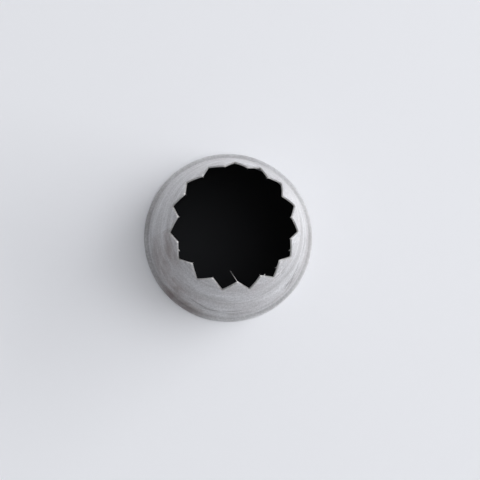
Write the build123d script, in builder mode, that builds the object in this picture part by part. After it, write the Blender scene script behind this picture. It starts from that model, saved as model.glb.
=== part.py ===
from build123d import *
import os
from math import ceil, cos, degrees, radians, sin

os.makedirs("parts", exist_ok=True)

# Driving dimensions, in millimetres and degrees. The nozzle stands on its rolled rim at z = 0.
rim_diameter = 35.0  # over the rolled rim, the widest place
height = 40.0  # from the foot to the tooth points
sheet = 0.35  # thickness of the stainless sheet
wall_angle = 7.4  # lean of the conical wall from upright
tooth_count = 15
tooth_depth = 8.1  # from the points down to the notch roots
tooth_set_angle = 2.8  # the teeth lean in by this much more than the wall
tooth_bend_radius = 40.0  # the easy bend where the teeth begin
point_width = 0.4  # the points are left blunt
notch_root_radius = 0.12  # corner of the punch
rim_curl_bore = 0.45  # hollow left inside the rolled rim
rim_lip_gap = 0.12  # between the rolled edge and the wall
flats_per_quarter = 4  # the curl is drawn in this many small flats to each quarter turn
weld_width = 0.3  # along the seam, measured at the rim
weld_crown = 0.1  # how far the bead stands in, inside the cone
seam_azimuth = -90.0  # the seam runs up the middle of a tooth
punch_overrun = 2.0  # the notch punch passes the points by this much

full_turn = 360.0
half_turn = full_turn / 2
quarter_turn = full_turn / 4


def outward(angle):
    """Direction square out of a wall that leans in by an angle, in the section's own plane."""
    return Vector(cos(radians(angle)), sin(radians(angle)))


def up_wall(foot, angle, level):
    """Point at a level on the line that runs up from a foot and leans in by an angle."""
    direction = outward(angle + quarter_turn)
    return foot + direction * ((level - foot.Y) / direction.Y)


# The rolled rim: the sheet turns outwards round this centre, in flats that all touch one circle
rim_radius = rim_diameter / 2
curl_inner = rim_curl_bore / 2
curl_middle = curl_inner + sheet / 2
curl_outer = curl_inner + sheet
curl_centre = Vector(rim_radius - curl_outer, curl_outer)
wall_facing = wall_angle - half_turn
curl_step = quarter_turn / flats_per_quarter
curl_flats = ceil((quarter_turn - wall_facing) / curl_step)
curl_facings = [wall_facing] + [quarter_turn - curl_step * flat for flat in reversed(range(curl_flats))]
curl_corners = [
    curl_centre + outward((before + after) / 2) * (curl_middle / cos(radians(after - before) / 2))
    for before, after in zip(curl_facings, curl_facings[1:])
]

# The rolled edge stops short of the wall's outer face
wall_face = up_wall(curl_centre - outward(wall_angle) * curl_inner, wall_angle, curl_centre.Y + curl_inner)
rolled_edge = Vector(wall_face.X + rim_lip_gap, curl_centre.Y + curl_middle)

# The sheet's middle line: up the wall from the rim, through the bend and up a tooth
tooth_angle = wall_angle + tooth_set_angle
root_height = height - tooth_depth
wall_foot = curl_corners[0]
bend_point = up_wall(wall_foot, wall_angle, root_height)
tooth_point = up_wall(bend_point, tooth_angle, height - outward(tooth_angle).Y * sheet / 2)

# The notches: one to each tooth, with straight flanks that leave the points blunt
tooth_pitch = full_turn / tooth_count
half_pitch = tooth_pitch / 2
notch_half_width = tooth_point.X * sin(radians(half_pitch)) - point_width / 2 * cos(radians(half_pitch))
flank_slope = notch_half_width / tooth_depth
punch_half_width = notch_half_width + flank_slope * punch_overrun

# The seam: its two edges lie either side of its azimuth, with the weld between them
seam_arc = degrees(weld_width / rim_radius)
seam_right = seam_azimuth + seam_arc / 2
seam_left = seam_azimuth - seam_arc / 2


def radial_plane(azimuth):
    """Upright plane through the nozzle's axis, whose x direction points out along an azimuth."""
    out = Axis.X.direction.rotate(Axis.Z, azimuth)
    return Plane(Axis.Z.position, x_dir=out, z_dir=out.rotate(Axis.Z, -quarter_turn))


def sheet_section(plane):
    """Section of the whole sheet, from the tooth point to the rolled edge, on a radial plane."""
    with BuildSketch(plane) as section:
        with BuildLine():
            FilletPolyline(tooth_point, bend_point, wall_foot, radius=tooth_bend_radius)
            Polyline(*curl_corners, rolled_edge)
        trace(line_width=sheet)
    return section.sketch


def bead_section(plane):
    """Section of the weld's bead, which stands in from the wall's inner face."""
    with BuildSketch(plane) as section:
        with BuildLine(mode=Mode.PRIVATE) as run:
            FilletPolyline(tooth_point, bend_point, wall_foot, radius=tooth_bend_radius)
        with BuildLine():
            offset(run.line, (sheet + weld_crown) / 2, side=Side.RIGHT, closed=False)
        trace(line_width=weld_crown)
    return section.sketch


def punch_notches():
    """Cuts the V notches out of the part being built, by a punch that moves along each notch's radius."""
    first = seam_azimuth + half_pitch + quarter_turn
    planes = [radial_plane(first + tooth_pitch * index) for index in range(tooth_count)]
    with BuildSketch(*planes) as notches:
        with BuildLine():
            Polyline(
                (0, root_height),
                (punch_half_width, height + punch_overrun),
                (-punch_half_width, height + punch_overrun),
                close=True,
            )
        make_face()
        fillet(notches.vertices().group_by(Axis.Z)[0], notch_root_radius)
    extrude(notches.sketch, amount=rim_radius, mode=Mode.SUBTRACT)


# The shell: rolled round from one side of the seam to the other, with its rim and teeth
with BuildPart() as nozzle_shell:
    add(sheet_section(radial_plane(seam_right)))
    revolve(axis=Axis.Z, revolution_arc=full_turn - seam_arc)
    punch_notches()

# The weld: fills the seam and stands in as a low bead
with BuildPart() as seam_weld:
    add(sheet_section(radial_plane(seam_left)))
    add(bead_section(radial_plane(seam_left)))
    revolve(axis=Axis.Z, revolution_arc=seam_arc)
    punch_notches()

nozzle_shell.part.label = "nozzle_shell"
seam_weld.part.label = "seam_weld"
export_step(nozzle_shell.part, "parts/nozzle_shell.step")
export_step(seam_weld.part, "parts/seam_weld.step")
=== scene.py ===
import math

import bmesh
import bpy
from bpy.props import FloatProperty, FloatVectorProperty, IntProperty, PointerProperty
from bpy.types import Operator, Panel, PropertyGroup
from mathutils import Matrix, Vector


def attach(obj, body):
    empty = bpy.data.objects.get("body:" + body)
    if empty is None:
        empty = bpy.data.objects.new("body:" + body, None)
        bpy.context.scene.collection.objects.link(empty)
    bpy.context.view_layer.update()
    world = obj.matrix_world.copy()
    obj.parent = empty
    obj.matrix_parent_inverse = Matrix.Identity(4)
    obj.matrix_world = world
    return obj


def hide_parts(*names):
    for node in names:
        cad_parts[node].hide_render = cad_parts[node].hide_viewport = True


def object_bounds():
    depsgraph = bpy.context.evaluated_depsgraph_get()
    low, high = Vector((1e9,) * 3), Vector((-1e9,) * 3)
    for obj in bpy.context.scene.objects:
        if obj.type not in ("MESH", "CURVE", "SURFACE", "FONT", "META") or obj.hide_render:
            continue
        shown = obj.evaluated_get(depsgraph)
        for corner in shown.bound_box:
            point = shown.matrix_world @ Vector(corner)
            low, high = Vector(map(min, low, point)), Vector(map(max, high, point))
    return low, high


bl_info = {
    "name": "Open-star piping nozzle",
    "version": (1, 0, 0),
    "blender": (4, 5, 0),
    "location": "View3D > Sidebar > Nozzle",
    "description": "Dresses the model of an open-star piping nozzle in satin stainless steel",
    "category": "Add Mesh",
}

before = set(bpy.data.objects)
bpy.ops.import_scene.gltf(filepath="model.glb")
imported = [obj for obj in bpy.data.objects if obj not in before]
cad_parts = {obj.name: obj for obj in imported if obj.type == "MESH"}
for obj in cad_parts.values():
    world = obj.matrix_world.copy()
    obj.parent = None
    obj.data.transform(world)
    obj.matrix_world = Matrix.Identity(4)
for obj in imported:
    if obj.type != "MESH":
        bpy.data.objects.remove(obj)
cad_low, cad_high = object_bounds()

MM = 0.001

# Places of the materials on the sheet and on the weld
OUTSIDE, INSIDE, PUNCHED = range(3)

# How finely the spun sheet is divided: up the wall and up a tooth, in the sheet and in the weld, whose
# ripples need more, then round the rim's curl and up its lip, and across a tooth and the weld
SHEET_STEPS = (18, 14)
WELD_STEPS = (200, 60)
CURL_STEPS = 24
LIP_STEPS = 4
TOOTH_COLUMNS = 8
WELD_COLUMNS = 6

# An edge that turns the sheet by more than the first angle and less than the second is a cut edge
CUT_EDGE_ANGLES = (math.radians(60), math.radians(120))

# A face looks into the passage if its normal points to the axis by more than this share, and outwards if
# it points away by more. The cut faces lie between the two.
FACING_SHARE = 0.5

# A bent tooth turns away near its root and is straight from there on. The lower, the sharper.
ROOT_EASE = 0.2

# How much of the bead's crown comes and goes with its ripples, and how far each ripple bows, as a share
# of the way to the next
RIPPLE_SHARE = 0.3
RIPPLE_BOW_SHARE = 0.35

# Radius at which places on the wall are unrolled, in millimetres
UNROLL_RADIUS = 15.0

# The worn places outside, and the places of painted shade and painted highlights, are ovals on the
# unrolled wall: azimuth in degrees, height, half length and half width in millimetres, and slant in degrees.
# Brown stains from hands, which also paint shade on the wall's dark side
STAINED_AND_SHADED_PLACES = ((-150, 12, 12, 14, 0), (-130, 3, 9, 6, 0), (-165, 28, 7, 10, 0))
# Scuffed in long light and dark streaks
SCUFFED_PLACES = ((-35, 10, 5, 9, 0), (-100, 8, 12, 8, 0), (-47, 31, 3, 8, 0), (5, 12, 11, 10, 0))
# Dark strokes: the first three darken a band low on the wall near azimuth -100, the rest are scratches
SCRATCHES = (
    (-115, 9.6, 4.0, 0.9, -36),
    (-101, 8.0, 5.0, 0.8, 3),
    (-86, 8.7, 4.4, 0.7, -5),
    (-39, 7.2, 3.4, 0.9, 60),
    (-35, 9.6, 4.6, 1.1, 62),
    (-30, 10.9, 3.8, 0.9, 60),
    (-43, 9.6, 3.0, 0.8, 64),
)
# Bright scratches, painted as glints: painted highlights that raise the tone towards white
GLINTS = (
    (-33, 9.8, 2.4, 0.3, 61),
    (-46, 31.0, 2.2, 0.3, 76),
    (-43, 34.5, 1.4, 0.25, 80),
    (3, 12.4, 3.2, 0.35, 8),
)
# Painted highlight along the rim: its tone is raised towards white
RIM_HIGHLIGHT_PLACES = ((-38, 0.4, 19, 1.1, 0),)

# How bright the painted highlight on the rim is, from 0 for plain steel to 1 for white
RIM_HIGHLIGHT_SHARE = 0.4

# Marks in the steel: their size along X, Y and Z in millimetres, how many times they are repeated at half
# the size, how strong those are, and how far the marks are pulled about. The rings of the spinning hardly
# change round the wall, and their finest are 0.1 mm apart. The upright marks of polishing grit are coarser
# than the real ones, to show at all.
RINGS = ((83.3, 83.3, 3.2), 5, 0.62, 0)
GRIT = ((0.3, 0.3, 2.2), 2, 0.7, 0)
SMEARS = ((11, 11, 9), 4, 0.55, 0.5)
BLOTCHES = ((5, 5, 8), 3, 0.6, 1)

# The same along the unrolled wall and up it: streaks, and the broken lines that a scratch is a bundle of
STREAKS = ((12, 2.4, 1), 3, 0.65, 0)
LINES = ((2.2, 0.4, 1), 2, 0.6, 0)

# How far the roughness goes up and down with the finest marks
ROUGHNESS_SPREAD = 0.08

WHITE = (1.0, 1.0, 1.0, 1.0)

# Settings of a node that mixes two colours, and of one that multiplies them
MIXED = {"data_type": "RGBA"}
MULTIPLIED = {"data_type": "RGBA", "blend_type": "MULTIPLY"}

# Teeth that were knocked out of line in use, counted from the seam's tooth anticlockwise seen from
# above: how far each point stands to that side and outwards, in millimetres.
KNOCKED_TEETH = {
    1: (-0.15, 0.05),
    2: (-0.1, 0.1),
    3: (0.1, 0.25),
    4: (-0.2, 0.15),
    5: (-0.1, -0.2),
    6: (0.2, 0.15),
    7: (0.05, 0.25),
    8: (-0.1, 0.3),
    10: (0.2, 0.0),
    11: (0.0, -0.25),
    12: (0.0, 0.2),
    13: (0.0, -0.1),
}

# Whiskers of metal at the point of the seam's tooth: how far each runs sideways and in over the mouth,
# and its width, in millimetres. Each sinks a little, and thins by a share of its width on the way.
WHISKERS = (((-1.37, 2.26), 0.085), ((-0.55, 0.81), 0.07))
WHISKER_DROP = 0.1
WHISKER_TAPER_SHARE = 0.75
WHISKER_STEPS = 5
WHISKER_SIDES = 6

# A whisker is rooted inside its tooth by a share of its length
WHISKER_ROOT_SHARE = 0.05

# How far up its tooth the burr of a point is attached
POINT_SHARE = 0.98

# Nibs left on the teeth's flanks: the tooth, its side, and how far up it
FLANK_NIBS = ((3, -1, 0.35), (2, -1, 0.55), (1, 1, 0.7), (12, 1, 0.5))

# The nibs point inwards and a little down, or on a flank mostly out over the notch. The narrowest is a
# share of the widest, and each is longer than it is wide.
NIB_SLOPE = 0.2
FLANK_NIB_SLOPE = 2
NIB_LEAST_SHARE = 0.6
NIB_LENGTH_SHARE = 2


def linear(code):
    """Linear colour of an sRGB hex value."""
    shares = [int(code[start : start + 2], 16) / 255 for start in (1, 3, 5)]
    return tuple(s / 12.92 if s <= 0.04045 else ((s + 0.055) / 1.055) ** 2.4 for s in shares)


def length(label, text, millimetres):
    """A length that a user can change, written in millimetres."""
    return FloatProperty(name=label, description=text, default=millimetres * MM, unit="LENGTH", precision=6)


def angle(label, text, degrees):
    """An angle that a user can change, written in degrees."""
    return FloatProperty(name=label, description=text, default=math.radians(degrees), subtype="ANGLE")


def colour(label, text, code):
    """A colour that a user can change, written as an sRGB hex value."""
    return FloatVectorProperty(
        name=label, description=text, default=linear(code), subtype="COLOR", size=3, min=0, max=1
    )


def share(label, text, value):
    """A share or strength that a user can change."""
    return FloatProperty(name=label, description=text, default=value, min=0, max=10)


class NozzleSizes(PropertyGroup):
    """Sizes of the nozzle. The rim and the height come from the model."""

    rim_radius: length("Rim radius", "Over the rolled rim, the widest place", cad_high.x / MM)
    height: length("Height", "From the foot to the tooth points", cad_high.z / MM)
    sheet: length("Sheet", "Thickness of the stainless sheet", 0.35)
    wall_angle: angle("Wall angle", "Lean of the conical wall from upright", 7.4)
    tooth_set_angle: angle("Tooth set", "The teeth lean in by this much more than the wall", 2.8)
    tooth_count: IntProperty(name="Teeth", description="Teeth round the mouth", default=15, min=3)
    tooth_depth: length("Tooth depth", "From the points down to the notch roots", 8.1)
    bend_radius: length("Bend radius", "The easy bend where the teeth begin", 40.0)
    point_width: length("Point width", "The points are left blunt", 0.26)
    point_round: length("Point round", "How far the blunt points' corners are worn down", 0.03)
    root_round: length("Root round", "Roundness of the notch roots", 0.12)
    edge_round: length("Edge round", "Tumbled rounding of the cut edges", 0.02)
    curl_bore: length("Curl bore", "Hollow left inside the rolled rim", 0.45)
    lip_rise: angle("Lip rise", "How steeply the burnished lip runs up to the wall", 45)
    lip_seat: length("Lip seat", "How far the lip is pressed into the wall", 0.05)
    seam_azimuth: angle("Seam azimuth", "The seam runs up the middle of a tooth", -90)
    weld_width: length("Weld width", "Along the seam, measured at the rim", 0.3)
    weld_crown: length("Weld crown", "How far the bead stands in, inside the cone", 0.1)
    weld_ripple: length("Weld ripple", "From one ripple of the bead to the next", 0.5)
    burr: length("Burr", "Width of the nibs that the punch left at the points", 0.14)
    index_offset: length("Index offset", "The notches were indexed about a centre this far off", 0.31)
    point_offset: length("Point offset", "The same at the tooth points, which were set by hand", 0.72)
    offset_azimuth: angle("Offset azimuth", "Where that centre lies", 35)
    crown_lean: length("Crown lean", "The points all stand over by this much", 0.38)
    lean_azimuth: angle("Lean azimuth", "The side that they stand over to", 219)


class NozzleFinish(PropertyGroup):
    """Colours and finish of the nozzle."""

    steel: colour("Steel", "Satin stainless outside", "#DADADC")
    steel_dark: colour("Steel, dark", "The same in its smears", "#BDBBBC")
    # Tint of brown stains, which also paints shade on the wall's dark side
    stain_and_shade: colour("Stain", "Tint of the handled places", "#C6BAB7")
    inside: colour("Inside", "Stainless left as it was rolled, inside", "#B0ACAA")
    punched: colour("Punched", "Bright edge of the sheet where the notches were punched", "#DDDCDA")
    weld: colour("Weld", "Weld metal", "#A9A39E")
    scratch: colour("Scratch", "What the dark scratches leave of the steel's tone", "#B8B6B6")
    roughness: share("Roughness", "Satin polish outside", 0.68)
    inside_roughness: share("Inside roughness", "Rolled finish inside", 0.62)
    brushing: share("Brushing", "How much the round brushing stretches highlights", 0.7)
    wear: share("Wear", "How strong the smears are", 0.75)


class NozzleStage(PropertyGroup):
    """Floor, light and camera."""

    floor: colour("Floor", "Plain pale floor", "#EDEEF1")
    floor_width: length("Floor width", "The floor is a square", 6000)
    sky: colour("Sky", "Plain pale surroundings", "#ECEDF0")
    # Painted shade: a black card under the mouth stands in for the shade inside the nozzle
    mouth_shade_card: colour("Backing", "Black card under the mouth", "#242527")
    mouth_shade_card_radius: length("Backing radius", "Size of that card", 15.5)
    mouth_shade_card_height: length("Backing height", "How far above the floor it lies", 0.2)
    sky_strength: share("Sky strength", "Light of the plain surroundings", 0.44)
    overhead_strength: share("Overhead strength", "Light of the soft patch overhead", 6.6)
    overhead_azimuth: angle("Overhead azimuth", "Where that patch lies", 14)
    overhead_elevation: angle("Overhead elevation", "How high it lies", 74)
    overhead_size: angle("Overhead size", "Half the angle that it fills, with its soft edge", 20)
    mirrored_plain: share("Mirrored, plain", "The plain surroundings that the steel mirrors", 0.64)
    mirrored_bright: share("Mirrored, bright", "The bright side that it mirrors", 1.0)
    mirrored_dark: share("Mirrored, dark", "What is left of them in the dark corner", 0.04)
    bright_azimuth: angle("Bright azimuth", "Where the bright side is", 70)
    bright_reach: angle("Bright reach", "Where the bright side ends, from its middle", 100)
    dark_azimuth: angle("Dark azimuth", "Where the dark corner is", 197)
    dark_reach: angle("Dark reach", "Where the dark corner ends, from its middle", 90)
    window_power: share("Window power", "Power of the broad soft lamp, in watts", 3.3)
    window_azimuth: angle("Window azimuth", "Where that lamp hangs", 12)
    window_elevation: angle("Window elevation", "How high it hangs", 32)
    window_distance: length("Window distance", "From the nozzle to the lamp", 850)
    window_width: length("Window width", "Width of the lamp", 900)
    window_height: length("Window height", "Height of the lamp", 500)
    lens: FloatProperty(name="Lens", description="Focal length, on a 36 mm sensor", default=162.07)
    distance: length("Distance", "From the camera to the point it looks at", 450)
    aim_x: length("Aim X", "The point that the camera looks at, on the floor", 2.45)
    aim_y: length("Aim Y", "The point that the camera looks at, on the floor", -0.43)
    tilt_x: angle("Tilt X", "The camera stands off the upright by this much along X", -2.21)
    tilt_y: angle("Tilt Y", "The camera stands off the upright by this much along Y", -3.92)
    roll: angle("Roll", "Turn of the picture against the model", 1.77)


def direction(azimuth, elevation=0.0):
    """Unit vector towards an azimuth, level or at an elevation."""
    level = math.cos(elevation)
    return Vector((level * math.cos(azimuth), level * math.sin(azimuth), math.sin(elevation)))


def plain_object(bm, name, materials):
    """Turns a finished mesh into an object at the origin, with smooth faces and its materials."""
    mesh = bpy.data.meshes.new(name)
    bm.to_mesh(mesh)
    bm.free()
    mesh.shade_smooth()
    for material in materials:
        mesh.materials.append(material)
    made = bpy.data.objects.new(name, mesh)
    bpy.context.scene.collection.objects.link(made)
    return made


def curl_centre(sizes):
    """Radius and height of the line that the rim is rolled round, and the outer radius of the roll."""
    outer = sizes.curl_bore / 2 + sizes.sheet
    return sizes.rim_radius - outer, outer, outer


def root_level(sizes):
    """Height of the notch roots."""
    return sizes.height - sizes.tooth_depth


def sheet_top(sizes):
    """Height of the inner face's edge at the points, which the sheet's slanting end stands above."""
    slant = sizes.sheet * math.sin(sizes.wall_angle + sizes.tooth_set_angle)
    return sizes.height - slant - 2 * sizes.edge_round


def wall_radius(sizes, z):
    """Radius of the sheet's inner face at a height: the straight wall, the easy bend, then a tooth."""
    centre_radius, centre_height, outer = curl_centre(sizes)
    lean = math.tan(sizes.wall_angle)
    foot_radius = centre_radius - outer * math.cos(sizes.wall_angle)
    foot_height = centre_height - outer * math.sin(sizes.wall_angle)
    radius = foot_radius - (z - foot_height) * lean
    extra = math.tan(sizes.wall_angle + sizes.tooth_set_angle) - lean
    reach = sizes.bend_radius * math.tan(sizes.tooth_set_angle / 2)
    past = z - root_level(sizes)
    if past > reach:
        return radius - extra * past
    if past > -reach:
        return radius - extra * (past + reach) ** 2 / (4 * reach)
    return radius


def sheet_profile(sizes, wall_steps, tooth_steps):
    """The sheet's inner face as (radius, height), from the tooth point down and round the rolled rim."""
    root, top = root_level(sizes), sheet_top(sizes)
    centre_radius, centre_height, outer = curl_centre(sizes)
    foot = centre_height - outer * math.sin(sizes.wall_angle)
    # The levels crowd together at the roots and at the points, where the notch's edge turns
    levels = [
        root + (top - root) * (1 + math.cos(math.pi * step / tooth_steps)) / 2 for step in range(tooth_steps)
    ]
    levels += [root + (foot - root) * step / wall_steps for step in range(wall_steps + 1)]
    points = [(wall_radius(sizes, z), z) for z in levels]
    first, last = math.pi + sizes.wall_angle, math.tau + math.pi / 2
    for step in range(1, CURL_STEPS + 1):
        turn = first + (last - first) * step / CURL_STEPS
        points.append((centre_radius + outer * math.cos(turn), centre_height + outer * math.sin(turn)))
    # From the top of the roll the lip sweeps up against the wall, where it is burnished down tight
    crest = centre_height + outer
    wall_face = wall_radius(sizes, crest) + sizes.sheet / math.cos(sizes.wall_angle)
    sweep = (centre_radius - wall_face + sizes.lip_seat) / math.sin(sizes.lip_rise)
    for step in range(1, LIP_STEPS + 1):
        turn = sizes.lip_rise * step / LIP_STEPS
        points.append((centre_radius - sweep * math.sin(turn), crest + sweep * (1 - math.cos(turn))))
    return points


def spun(profile, start, turn, steps):
    """An open mesh: a profile spun round the nozzle's axis from one azimuth through a turn."""
    bm = bmesh.new()
    verts = [bm.verts.new((r * math.cos(start), r * math.sin(start), z)) for r, z in profile]
    edges = [bm.edges.new(pair) for pair in zip(verts, verts[1:])]
    bmesh.ops.spin(bm, geom=verts + edges, cent=(0, 0, 0), axis=(0, 0, 1), angle=turn, steps=steps)
    bmesh.ops.recalc_face_normals(bm, faces=bm.faces)
    return bm


def keep_seam_square(bm):
    """Marks the two upright edges of the spun sheet, where its seam is, to stay square and sharp."""
    crease = bm.edges.layers.float.new("crease_edge")
    for edge in bm.edges:
        # Both ends of an upright edge lie the same way from the axis
        first, last = (vert.co.xy.normalized() for vert in edge.verts)
        if edge.is_boundary and first.dot(last) > 1 - 1e-9:
            edge[crease] = 1
            edge.smooth = False


def index_shift(azimuth, radius, offset, sizes):
    """How far from its even place a cut lands, when the punch turns about a centre off the axis."""
    return -math.asin(offset / radius * math.sin(azimuth - sizes.offset_azimuth))


def even_azimuth(sizes, number):
    """Azimuth of the middle of a tooth, if the teeth were indexed about the axis."""
    return sizes.seam_azimuth + math.tau * number / sizes.tooth_count


def notch_azimuth(sizes, number):
    """Azimuth of the notch before a tooth. The seam's tooth stays in the middle of its two notches."""
    radius = wall_radius(sizes, root_level(sizes))
    shift = [
        index_shift(even_azimuth(sizes, place), radius, sizes.index_offset, sizes)
        for place in (number - 0.5, -0.5, 0.5)
    ]
    return even_azimuth(sizes, number - 0.5) + shift[0] - (shift[1] + shift[2]) / 2


def tooth_share(sizes, z):
    """How far up a tooth a height is: 0 at the roots and below, 1 at the points."""
    return min(1, max(0, (z - root_level(sizes)) / sizes.tooth_depth))


def tooth_middle(sizes, number, z):
    """Azimuth of a tooth's middle line at a height."""
    before, after = notch_azimuth(sizes, number), notch_azimuth(sizes, number + 1)
    at_root = (before + after) / 2
    radius = wall_radius(sizes, sizes.height)
    even = even_azimuth(sizes, number)
    seam = index_shift(sizes.seam_azimuth, wall_radius(sizes, root_level(sizes)), sizes.index_offset, sizes)
    at_point = even + index_shift(even, radius, sizes.point_offset, sizes) - seam
    return at_root + (at_point - at_root) * tooth_share(sizes, z)


def tooth_half_angle(sizes, number, z):
    """Half the angle that a tooth spans at a height. Its flanks are straight, with a rounded root."""
    half = (notch_azimuth(sizes, number + 1) - notch_azimuth(sizes, number)) / 2
    rise = tooth_share(sizes, z) * sizes.tooth_depth
    if rise == 0:
        return half
    soft = 2 * sizes.root_round
    cut = math.sqrt((rise**2 + soft * rise) / (sizes.tooth_depth**2 + soft * sizes.tooth_depth))
    at_root = half * wall_radius(sizes, root_level(sizes))
    width = at_root + (sizes.point_width / 2 - at_root) * cut
    return width / wall_radius(sizes, z)


def tooth_lean(sizes, number, azimuth, z):
    """How far a tooth stands out of its true place at a height, as a level vector."""
    share_up = tooth_share(sizes, z)
    ease = (1 + ROOT_EASE) * share_up**2 / (share_up + ROOT_EASE)
    sideways, outwards = KNOCKED_TEETH.get(number, (0, 0))
    out = direction(azimuth)
    side = Vector((-out.y, out.x, 0))
    lean = direction(sizes.lean_azimuth) * sizes.crown_lean
    return (lean + side * sideways * MM + out * outwards * MM) * ease


def crown_place(sizes, point, number, span, across):
    """Where a point of the spun sheet goes: round to its place on its tooth, then over with the tooth.

    The span is its angle from the tooth's middle line, and across runs from -1 to 1 over the tooth."""
    own, z = math.atan2(point.y, point.x), point.z
    drift = (tooth_middle(sizes, number, z) + span - own + math.pi) % math.tau - math.pi
    azimuth = own + drift * min(1, max(0, z / root_level(sizes)))
    place = direction(azimuth) * point.xy.length
    # The high powers keep this to the two corners of the point
    place.z = z - sizes.point_round * abs(across) ** 3 * tooth_share(sizes, z) ** 12
    return place + tooth_lean(sizes, number % sizes.tooth_count, azimuth, z)


def weld_half_angle(sizes):
    """Half the angle between the two edges of the seam."""
    return sizes.weld_width / sizes.rim_radius / 2


def cut_teeth(bm, sizes, steps):
    """Opens the notches in the spun sheet and sets every tooth where it stands.

    A vertex knows its place by its column. Between two notches the columns close up towards the
    tooth's middle as they rise, which leaves a straight flank on either side."""
    gap = weld_half_angle(sizes)
    start = sizes.seam_azimuth + gap
    turn = math.tau - 2 * gap

    def column(point):
        """A point's column, counted from the seam. Half a gap keeps the first ones from wrapping round."""
        return ((math.atan2(point.y, point.x) - start + gap / 2) % math.tau - gap / 2) / turn * steps

    root = root_level(sizes)
    columns, half = TOOTH_COLUMNS, TOOTH_COLUMNS // 2
    # A notch opens along the column half way between two teeth, above the roots
    notch_edges = [
        edge
        for edge in bm.edges
        if all(abs((column(v.co) + half + 0.5) % columns - 0.5) < 0.1 for v in edge.verts)
        and (edge.verts[0].co.z + edge.verts[1].co.z) / 2 > root
    ]
    bmesh.ops.split_edges(bm, edges=notch_edges)
    places = {}
    for vert in bm.verts:
        faces = vert.link_faces
        beside = sum(column(face.calc_center_median()) for face in faces) / len(faces)
        number = int((beside + half) // columns)
        across = (round(column(vert.co)) - number * columns) / half
        span = tooth_half_angle(sizes, number, vert.co.z)
        if number % sizes.tooth_count == 0:
            side = math.copysign(1, beside - number * columns)
            span = gap * side + (span - gap) * across
        else:
            span *= across
        places[vert] = crown_place(sizes, vert.co, number, span, across)
    for vert, place in places.items():
        vert.co = place


def thicken(bm, sizes):
    """Gives the spun sheet its thickness, away from the passage, and turns its faces outwards."""
    wall = min(bm.faces, key=lambda face: abs(face.calc_center_median().z - sizes.height / 2))
    centre = wall.calc_center_median()
    if wall.normal.dot(Vector((centre.x, centre.y, 0))) > 0:
        bmesh.ops.reverse_faces(bm, faces=bm.faces)
    bmesh.ops.solidify(bm, geom=bm.faces, thickness=sizes.sheet)
    bm.normal_update()


def mark_faces(bm, sizes):
    """Gives their materials to the faces that look into the passage and to the punched faces."""
    _, centre_height, outer = curl_centre(sizes)
    for face in bm.faces:
        centre = face.calc_center_median()
        facing = face.normal.dot(Vector((centre.x, centre.y, 0)).normalized())
        if facing < -FACING_SHARE and centre.z > centre_height + outer:
            face.material_index = INSIDE
        elif facing < FACING_SHARE and centre.z > root_level(sizes):
            face.material_index = PUNCHED
        else:
            face.material_index = OUTSIDE


def round_cut_edges(bm, sizes):
    """Rounds the punched edges and the rolled lip slightly. The seam's edges stay square for the weld."""
    crease = bm.edges.layers.float["crease_edge"]
    low, high = CUT_EDGE_ANGLES
    edges = [edge for edge in bm.edges if not edge[crease] and low < edge.calc_face_angle(0) < high]
    bmesh.ops.bevel(
        bm,
        geom=edges,
        affect="EDGES",
        offset=sizes.edge_round,
        offset_type="OFFSET",
        segments=2,
        profile=0.5,
        material=-1,
        clamp_overlap=True,
    )
    bm.normal_update()


def add_node(tree, kind, inputs=None, **settings):
    """Adds a node with its settings and inputs: a value is set, and a socket or a node's output linked.

    A node given as an input stands for the first of its outputs that is in use."""
    made = tree.nodes.new(kind)
    for name, value in settings.items():
        setattr(made, name, value)
    for name, given in (inputs or {}).items():
        if isinstance(given, bpy.types.Node):
            given = next(output for output in given.outputs if output.enabled)
        if isinstance(given, bpy.types.NodeSocket):
            tree.links.new(given, made.inputs[name])
        else:
            made.inputs[name].default_value = given
    return made


def empty_material(name):
    """A material with an empty node tree, and that tree."""
    material = bpy.data.materials.new(name)
    material.use_nodes = True
    material.node_tree.nodes.clear()
    return material, material.node_tree


def opaque(value):
    """A colour with full alpha."""
    return (*value, 1)


def unrolled_wall(tree, place):
    """Places on the wall laid flat: along the rim by azimuth, then height."""
    split = add_node(tree, "ShaderNodeSeparateXYZ", {"Vector": place}).outputs
    turn = add_node(tree, "ShaderNodeMath", {0: split["Y"], 1: split["X"]}, operation="ARCTAN2")
    along = add_node(tree, "ShaderNodeMath", {0: turn, 1: UNROLL_RADIUS * MM}, operation="MULTIPLY")
    return add_node(tree, "ShaderNodeCombineXYZ", {"X": along, "Y": split["Z"]})


def in_places(tree, unrolled, places, softness):
    """How far a point lies inside one of some oval places on the unrolled wall: 0 outside, 1 well in."""
    inside = None
    for azimuth, height, half_length, half_width, slant in places:
        own = add_node(
            tree,
            "ShaderNodeMapping",
            {
                "Vector": unrolled,
                "Location": (math.radians(azimuth) * UNROLL_RADIUS * MM, height * MM, 0),
                "Rotation": (0, 0, math.radians(slant)),
                "Scale": (half_length * MM, half_width * MM, 1),
            },
            vector_type="TEXTURE",
        )
        far = add_node(tree, "ShaderNodeVectorMath", {0: own}, operation="LENGTH")
        here = add_node(
            tree,
            "ShaderNodeMapRange",
            {"Value": far, "From Min": 1.0, "From Max": 1.0 - softness},
            interpolation_type="SMOOTHSTEP",
        )
        if inside:
            here = add_node(tree, "ShaderNodeMath", {0: inside, 1: here}, operation="MAXIMUM")
        inside = here
    return inside


def uneven(tree, place, marks):
    """A pattern of one of the kinds of marks, from 0 to 1."""
    size, detail, roughness, distortion = marks
    repeats = [1 / (millimetres * MM) for millimetres in size]
    spread = add_node(tree, "ShaderNodeMapping", {"Vector": place, "Scale": repeats})
    return add_node(
        tree,
        "ShaderNodeTexNoise",
        {"Vector": spread, "Scale": 1, "Detail": detail, "Roughness": roughness, "Distortion": distortion},
    )


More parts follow.
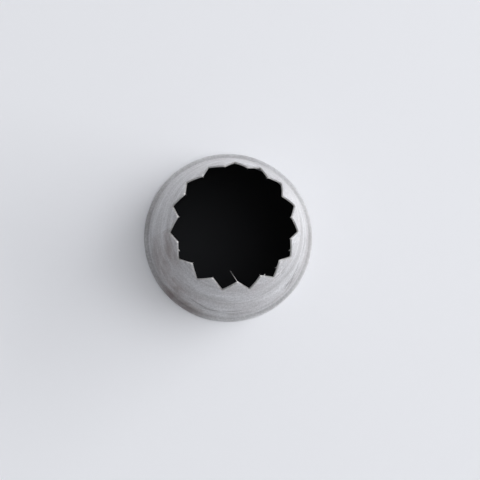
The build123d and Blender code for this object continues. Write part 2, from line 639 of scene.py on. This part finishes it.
def handled(tree, place, tone, finish):
    """The tone of steel that has been handled for years: stains, scuffs, dark strokes and scratches, with
    painted shade on the wall's dark side, painted glints and a painted highlight along the rim.
    """
    wall = unrolled_wall(tree, place)
    # Brown stains on the wall's dark side, which also paint shade there
    blotches = add_node(
        tree,
        "ShaderNodeMapRange",
        {"Value": uneven(tree, place, BLOTCHES), "From Min": 0.35, "From Max": 0.65, "To Min": 0.25},
    )
    stained_and_shaded = add_node(
        tree,
        "ShaderNodeMath",
        {0: in_places(tree, wall, STAINED_AND_SHADED_PLACES, softness=0.9), 1: blotches},
        operation="MULTIPLY",
    )
    tone = add_node(
        tree, "ShaderNodeMix", {"Factor": stained_and_shaded, "A": tone, "B": opaque(finish.stain_and_shade)}, **MULTIPLIED
    )
    streaks = add_node(
        tree,
        "ShaderNodeMapRange",
        {
            "Value": uneven(tree, wall, STREAKS),
            "From Min": 0.36,
            "From Max": 0.62,
            "To Min": 0.62,
            "To Max": 1.2,
        },
    )
    scuffed = in_places(tree, wall, SCUFFED_PLACES, softness=1.0)
    scuffs = add_node(tree, "ShaderNodeMix", {"Factor": scuffed, "A": WHITE, "B": streaks}, **MIXED)
    tone = add_node(tree, "ShaderNodeMix", {"Factor": 1.0, "A": tone, "B": scuffs}, **MULTIPLIED)
    lines = add_node(
        tree,
        "ShaderNodeMapRange",
        {"Value": uneven(tree, wall, LINES), "From Min": 0.42, "From Max": 0.58, "To Min": 0.1},
    )
    # Dark strokes lower the tone, and the glints raise it towards white as painted highlights
    for places, shade, way in ((SCRATCHES, opaque(finish.scratch), MULTIPLIED), (GLINTS, WHITE, MIXED)):
        bundle = in_places(tree, wall, places, softness=0.8)
        cut = add_node(tree, "ShaderNodeMath", {0: bundle, 1: lines}, operation="MULTIPLY")
        tone = add_node(tree, "ShaderNodeMix", {"Factor": cut, "A": tone, "B": shade}, **way)
    # Painted highlight along the rim, raising its tone towards white
    rim_highlight = add_node(
        tree,
        "ShaderNodeMath",
        {0: in_places(tree, wall, RIM_HIGHLIGHT_PLACES, softness=0.8), 1: RIM_HIGHLIGHT_SHARE},
        operation="MULTIPLY",
    )
    return add_node(tree, "ShaderNodeMix", {"Factor": rim_highlight, "A": tone, "B": WHITE}, **MIXED)


def drawn_metal(name, base, dark, roughness, brushing, wear, worn=None):
    """Stainless sheet spun on a mandrel: rings of tool marks, finer upright marks and dull smears.

    The eye sees a soft grey metal whose highlights spread up and down the wall. Given the finish as
    worn, it also has what years of handling leave on the outside, with painted shade on its dark side and
    painted highlights on its glints and along the rim."""
    if name in bpy.data.materials:
        return bpy.data.materials[name]
    material, tree = empty_material(name)
    place = add_node(tree, "ShaderNodeTexCoord").outputs["Object"]
    rings, grit = uneven(tree, place, RINGS), uneven(tree, place, GRIT)
    fine = add_node(tree, "ShaderNodeMath", {0: rings, 1: grit}, operation="ADD")
    smears = add_node(
        tree,
        "ShaderNodeMapRange",
        {"Value": uneven(tree, place, SMEARS), "From Min": 0.38, "From Max": 0.7, "To Max": wear},
    )
    tone = add_node(
        tree, "ShaderNodeMix", {"Factor": smears, "A": opaque(base), "B": opaque(dark)}, **MIXED
    )
    grain = add_node(
        tree,
        "ShaderNodeMapRange",
        {"Value": fine, "From Min": 0.65, "From Max": 1.35, "To Min": 0.7, "To Max": 1.25},
    )
    tone = add_node(tree, "ShaderNodeMix", {"Factor": 1.0, "A": tone, "B": grain}, **MULTIPLIED)
    if worn:
        tone = handled(tree, place, tone, worn)
    rough = add_node(
        tree,
        "ShaderNodeMapRange",
        {
            "Value": fine,
            "From Min": 0.7,
            "From Max": 1.3,
            "To Min": roughness - ROUGHNESS_SPREAD,
            "To Max": roughness + ROUGHNESS_SPREAD,
        },
    )
    bump = add_node(tree, "ShaderNodeBump", {"Strength": 0.25, "Distance": 0.02 * MM, "Height": fine})
    tangent = add_node(tree, "ShaderNodeVectorMath", {0: (0, 0, 1), 1: place}, operation="CROSS_PRODUCT")
    shader = add_node(
        tree,
        "ShaderNodeBsdfPrincipled",
        {
            "Base Color": tone,
            "Metallic": 1.0,
            "Roughness": rough,
            "Anisotropic": brushing,
            "Anisotropic Rotation": 0.25,
            "Normal": bump,
            "Tangent": tangent,
        },
    )
    add_node(tree, "ShaderNodeOutputMaterial", {"Surface": shader})
    return material


def satin_outside(finish):
    """Stainless sheet, spun and satin polished: soft grey, with broad highlights."""
    return drawn_metal(
        "satin_stainless_sheet",
        finish.steel,
        finish.steel_dark,
        finish.roughness,
        finish.brushing,
        finish.wear,
        finish,
    )


def rolled_inside(finish):
    """Stainless left as it came from the mill, inside: darker and duller."""
    return drawn_metal(
        "rolled_stainless_inside",
        finish.inside,
        finish.steel_dark,
        finish.inside_roughness,
        finish.brushing / 2,
        finish.wear / 2,
    )


def punched_edge(finish):
    """Stainless sheared by the punch across the sheet's thickness: a thin bright line round the mouth."""
    return drawn_metal(
        "punched_stainless_edge", finish.punched, finish.steel, finish.inside_roughness, 0.0, finish.wear
    )


def weld_metal(finish):
    """Bare weld metal: the bead inside, straw grey from the heat."""
    return drawn_metal(
        "bare_weld_metal", finish.weld, finish.steel_dark, finish.inside_roughness, 0.0, finish.wear / 2
    )


def sheet_materials(finish):
    """The sheet's materials, in the order of their places."""
    return [satin_outside(finish), rolled_inside(finish), punched_edge(finish)]


def plain_card(name, tone, roughness):
    """Painted board for the stage: matt and even."""
    material, tree = empty_material(name)
    shader = add_node(
        tree,
        "ShaderNodeBsdfPrincipled",
        {"Base Color": opaque(tone), "Roughness": roughness, "Specular IOR Level": 0.1},
    )
    add_node(tree, "ShaderNodeOutputMaterial", {"Surface": shader})
    return material


class NOZZLE_OT_sheet(Operator):
    """Spins the sheet, opens its notches and rolls its rim"""

    bl_idname = "nozzle.sheet"
    bl_label = "Nozzle sheet"

    def execute(self, context):
        sizes, finish = context.scene.nozzle_sizes, context.scene.nozzle_finish
        steps = TOOTH_COLUMNS * sizes.tooth_count
        gap = weld_half_angle(sizes)
        profile = sheet_profile(sizes, *SHEET_STEPS)
        bm = spun(profile, sizes.seam_azimuth + gap, math.tau - 2 * gap, steps)
        keep_seam_square(bm)
        cut_teeth(bm, sizes, steps)
        thicken(bm, sizes)
        round_cut_edges(bm, sizes)
        mark_faces(bm, sizes)
        piece = plain_object(bm, "nozzle_sheet", sheet_materials(finish))
        smooth = piece.modifiers.new("Smooth", "SUBSURF")
        smooth.levels = smooth.render_levels = 1
        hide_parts("nozzle_shell")
        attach(piece, "root")
        return {"FINISHED"}


def raise_bead(sizes, inner):
    """Raises the weld's inner face to a crown with a ripple for each step of the torch."""
    _, centre_height, outer = curl_centre(sizes)
    for vert, across in inner.items():
        clear = min(1, max(0, (vert.co.z - centre_height - outer) / MM))
        phase = math.tau * (vert.co.z / sizes.weld_ripple + RIPPLE_BOW_SHARE * across**2)
        height = sizes.weld_crown * (1 + RIPPLE_SHARE * math.cos(phase)) / (1 + RIPPLE_SHARE)
        crown = height * clear * (1 - across**2)
        vert.co -= Vector((vert.co.x, vert.co.y, 0)).normalized() * crown


class NOZZLE_OT_weld(Operator):
    """Fills the seam with weld metal, ground flush outside and left as a low rippled bead inside"""

    bl_idname = "nozzle.weld"
    bl_label = "Seam weld"

    def execute(self, context):
        sizes, finish = context.scene.nozzle_sizes, context.scene.nozzle_finish
        gap = weld_half_angle(sizes)
        profile = sheet_profile(sizes, *WELD_STEPS)
        bm = spun(profile, sizes.seam_azimuth - gap, 2 * gap, WELD_COLUMNS)
        keep_seam_square(bm)
        inner = {}
        for vert in bm.verts:
            span = math.atan2(vert.co.y, vert.co.x) - sizes.seam_azimuth
            inner[vert] = span / gap
            vert.co = crown_place(sizes, vert.co, 0, span, 0)
        thicken(bm, sizes)
        raise_bead(sizes, inner)
        round_cut_edges(bm, sizes)
        mark_faces(bm, sizes)
        outside, _, punched = sheet_materials(finish)
        bead = weld_metal(finish)
        piece = plain_object(bm, "weld_bead", [outside, bead, punched])
        smooth = piece.modifiers.new("Smooth", "SUBSURF")
        smooth.levels = smooth.render_levels = 1
        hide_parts("seam_weld")
        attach(piece, "root")
        return {"FINISHED"}


def tooth_place(sizes, number, across, share_up):
    """A place on a tooth's inner face: across runs from -1 to 1 between its flanks, and up from 0 to 1."""
    z = root_level(sizes) + (sheet_top(sizes) - root_level(sizes)) * share_up
    azimuth = tooth_middle(sizes, number, z) + tooth_half_angle(sizes, number, z) * across
    place = direction(azimuth) * wall_radius(sizes, z)
    place.z = z
    return place + tooth_lean(sizes, number, azimuth, z)


def add_whisker(bm, start, run, width, bow):
    """Adds a thin tapered whisker of metal, from where it is still attached, with a slight bow sideways."""
    turn = run.to_track_quat("Z", "X")
    ring = bmesh.ops.create_circle(bm, cap_ends=True, segments=WHISKER_SIDES, radius=width / 2)["verts"]
    bmesh.ops.rotate(bm, verts=ring, matrix=turn.to_matrix())
    bmesh.ops.translate(bm, verts=ring, vec=start)
    edges = list({edge for vert in ring for edge in vert.link_edges})
    sideways = turn @ Vector((bow, 0, 0))
    centre, thickness = start, 1
    for step in range(1, WHISKER_STEPS + 1):
        along = step / WHISKER_STEPS
        extruded = bmesh.ops.extrude_edge_only(bm, edges=edges)["geom"]
        ring = [item for item in extruded if isinstance(item, bmesh.types.BMVert)]
        edges = [
            item
            for item in extruded
            if isinstance(item, bmesh.types.BMEdge) and all(vert in ring for vert in item.verts)
        ]
        # The bow is widest half way along
        following = start + run * along + sideways * 4 * along * (1 - along)
        thinner = 1 - WHISKER_TAPER_SHARE * along
        bmesh.ops.translate(bm, verts=ring, vec=following - centre)
        bmesh.ops.scale(bm, verts=ring, vec=(thinner / thickness,) * 3, space=Matrix.Translation(-following))
        centre, thickness = following, thinner
    bmesh.ops.contextual_create(bm, geom=edges)


class NOZZLE_OT_burrs(Operator):
    """Leaves the punch's burrs: nibs at the points and on four flanks, and the seam tooth's whiskers"""

    bl_idname = "nozzle.burrs"
    bl_label = "Punch burrs"

    def execute(self, context):
        sizes, finish = context.scene.nozzle_sizes, context.scene.nozzle_finish
        bm = bmesh.new()
        point_nibs = [(number, 0, POINT_SHARE) for number in range(sizes.tooth_count)]
        for number, across, share_up in (*point_nibs, *FLANK_NIBS):
            point = tooth_place(sizes, number, across, share_up)
            inward = Vector((-point.x, -point.y, -NIB_SLOPE * point.xy.length)).normalized()
            beside = Vector((-point.y, point.x, 0)).normalized() * across
            # The sine makes the nibs uneven, and the ones on the flanks are larger
            varied = NIB_LEAST_SHARE + (1 - NIB_LEAST_SHARE) * math.sin(5 * number) ** 2
            size = sizes.burr * (varied + abs(across))
            run = (inward + beside * FLANK_NIB_SLOPE).normalized() * size * NIB_LENGTH_SHARE
            add_whisker(bm, point - beside * size, run, size, 0)
        seam = tooth_place(sizes, 0, 0, POINT_SHARE)
        for (across, inwards), width in WHISKERS:
            run = Vector((across, inwards, -WHISKER_DROP)) * MM
            add_whisker(bm, seam - run * WHISKER_ROOT_SHARE, run, width * MM, sizes.burr)
        bmesh.ops.recalc_face_normals(bm, faces=bm.faces)
        piece = plain_object(bm, "punch_burrs", [punched_edge(finish)])
        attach(piece, "root")
        return {"FINISHED"}


class NOZZLE_OT_stage(Operator):
    """Lays the floor and the black card of painted shade under the mouth, hangs the lamp, and sets the
    surroundings and the camera
    """

    bl_idname = "nozzle.stage"
    bl_label = "Nozzle stage"

    def execute(self, context):
        stage = context.scene.nozzle_stage
        lay_floor(stage)
        set_window(stage)
        set_sky(stage)
        set_camera(stage)
        context.scene.view_settings.view_transform = "Standard"
        return {"FINISHED"}


def lay_floor(stage):
    """A pale floor, with a black card under the mouth as painted shade for the nozzle's inside."""
    floor = plain_card("pale_painted_board", stage.floor, roughness=0.7)
    bm = bmesh.new()
    bmesh.ops.create_grid(bm, x_segments=1, y_segments=1, size=stage.floor_width / 2)
    plain_object(bm, "floor", [floor])
    # Painted shade: the black card stands in for the shade inside the nozzle
    black = plain_card("painted_shade_card", stage.mouth_shade_card, roughness=1.0)
    bm = bmesh.new()
    bmesh.ops.create_circle(bm, cap_ends=True, segments=48, radius=stage.mouth_shade_card_radius)
    bmesh.ops.translate(bm, vec=(0, 0, stage.mouth_shade_card_height), verts=bm.verts)
    plain_object(bm, "mouth_shade_card", [black])


def set_window(stage):
    """One broad soft lamp, like a window at the picture's right."""
    data = bpy.data.lights.new("window", "AREA")
    data.shape = "RECTANGLE"
    data.size = stage.window_width
    data.size_y = stage.window_height
    data.energy = stage.window_power
    lamp = bpy.data.objects.new("window", data)
    lamp.location = direction(stage.window_azimuth, stage.window_elevation) * stage.window_distance
    lamp.rotation_euler = lamp.location.to_track_quat("Z", "Y").to_euler()
    lamp.visible_camera = False
    bpy.context.scene.collection.objects.link(lamp)


def nearness(tree, way, towards, angles, levels):
    """A level for a ray's way, which goes from one to another between two angles from a direction."""
    cosine = add_node(tree, "ShaderNodeVectorMath", {0: way, 1: towards}, operation="DOT_PRODUCT")
    return add_node(
        tree,
        "ShaderNodeMapRange",
        {
            "Value": cosine,
            "From Min": math.cos(angles[0]),
            "From Max": math.cos(angles[1]),
            "To Min": levels[0],
            "To Max": levels[1],
        },
        interpolation_type="SMOOTHSTEP",
    )


def set_sky(stage):
    """Plain pale surroundings, a soft light overhead, and for the steel a bright side and a dark corner."""
    world = bpy.data.worlds.new("surroundings")
    world.use_nodes = True
    tree = world.node_tree
    tree.nodes.clear()
    way = add_node(tree, "ShaderNodeTexCoord").outputs["Generated"]
    # Each of the three ends softly, from its reach in to a half or a third of it
    light = nearness(
        tree,
        way,
        direction(stage.overhead_azimuth, stage.overhead_elevation),
        (stage.overhead_size, stage.overhead_size / 3),
        (stage.sky_strength, stage.overhead_strength),
    )
    bright = nearness(
        tree,
        way,
        direction(stage.bright_azimuth),
        (stage.bright_reach, stage.bright_reach / 2),
        (stage.mirrored_plain, stage.mirrored_bright),
    )
    dark = nearness(
        tree,
        way,
        direction(stage.dark_azimuth),
        (stage.dark_reach, stage.dark_reach / 3),
        (1.0, stage.mirrored_dark),
    )
    mirrored = add_node(tree, "ShaderNodeMath", {0: bright, 1: dark}, operation="MULTIPLY")
    rays = add_node(tree, "ShaderNodeLightPath").outputs
    unseen = add_node(tree, "ShaderNodeMix", {"Factor": rays["Is Glossy Ray"], "A": light, "B": mirrored})
    seen = add_node(
        tree,
        "ShaderNodeMath",
        {0: rays["Is Camera Ray"], 1: rays["Is Transmission Ray"]},
        operation="MAXIMUM",
    )
    strength = add_node(tree, "ShaderNodeMix", {"Factor": seen, "A": unseen, "B": 1.0})
    back = add_node(tree, "ShaderNodeBackground", {"Color": opaque(stage.sky), "Strength": strength})
    add_node(tree, "ShaderNodeOutputWorld", {"Surface": back})
    bpy.context.scene.world = world


def set_camera(stage):
    """The camera, almost straight above the mouth and slightly to the lower left."""
    data = bpy.data.cameras.new("camera")
    data.lens = stage.lens
    data.clip_start = 0.01
    data.clip_end = 20
    camera = bpy.data.objects.new("camera", data)
    across, up = math.sin(stage.tilt_x), math.sin(stage.tilt_y)
    back = Vector((across, up, math.sqrt(1 - across**2 - up**2)))
    side = Vector((0, 1, 0)).cross(back).normalized()
    top = back.cross(side)
    aim = Vector((stage.aim_x, stage.aim_y, 0))
    matrix = Matrix.Identity(4)
    for column, vector in enumerate((side, top, back, aim + back * stage.distance)):
        matrix.col[column] = (*vector, column == 3)
    camera.matrix_world = Matrix.Rotation(-stage.roll, 4, "Z") @ matrix
    bpy.context.scene.collection.objects.link(camera)
    bpy.context.scene.camera = camera


class NOZZLE_PT_sidebar(Panel):
    """Sizes, finish and stage of the nozzle"""

    bl_label = "Open-star piping nozzle"
    bl_space_type = "VIEW_3D"
    bl_region_type = "UI"
    bl_category = "Nozzle"

    def draw(self, context):
        for group in (context.scene.nozzle_sizes, context.scene.nozzle_finish, context.scene.nozzle_stage):
            box = self.layout.box()
            for name in group.__annotations__:
                box.prop(group, name)
        for operator in OPERATORS:
            self.layout.operator(operator.bl_idname)


GROUPS = {"nozzle_sizes": NozzleSizes, "nozzle_finish": NozzleFinish, "nozzle_stage": NozzleStage}
OPERATORS = (NOZZLE_OT_sheet, NOZZLE_OT_weld, NOZZLE_OT_burrs, NOZZLE_OT_stage)


def register():
    for kind in (*GROUPS.values(), *OPERATORS, NOZZLE_PT_sidebar):
        bpy.utils.register_class(kind)
    for name, kind in GROUPS.items():
        setattr(bpy.types.Scene, name, PointerProperty(type=kind))


def unregister():
    for name in GROUPS:
        delattr(bpy.types.Scene, name)
    for kind in reversed((*GROUPS.values(), *OPERATORS, NOZZLE_PT_sidebar)):
        bpy.utils.unregister_class(kind)


def main():
    """Makes the nozzle and its stage."""
    register()
    bpy.ops.nozzle.sheet()
    bpy.ops.nozzle.weld()
    bpy.ops.nozzle.burrs()
    bpy.ops.nozzle.stage()
    bpy.context.view_layer.update()


if __name__ == "__main__":
    main()
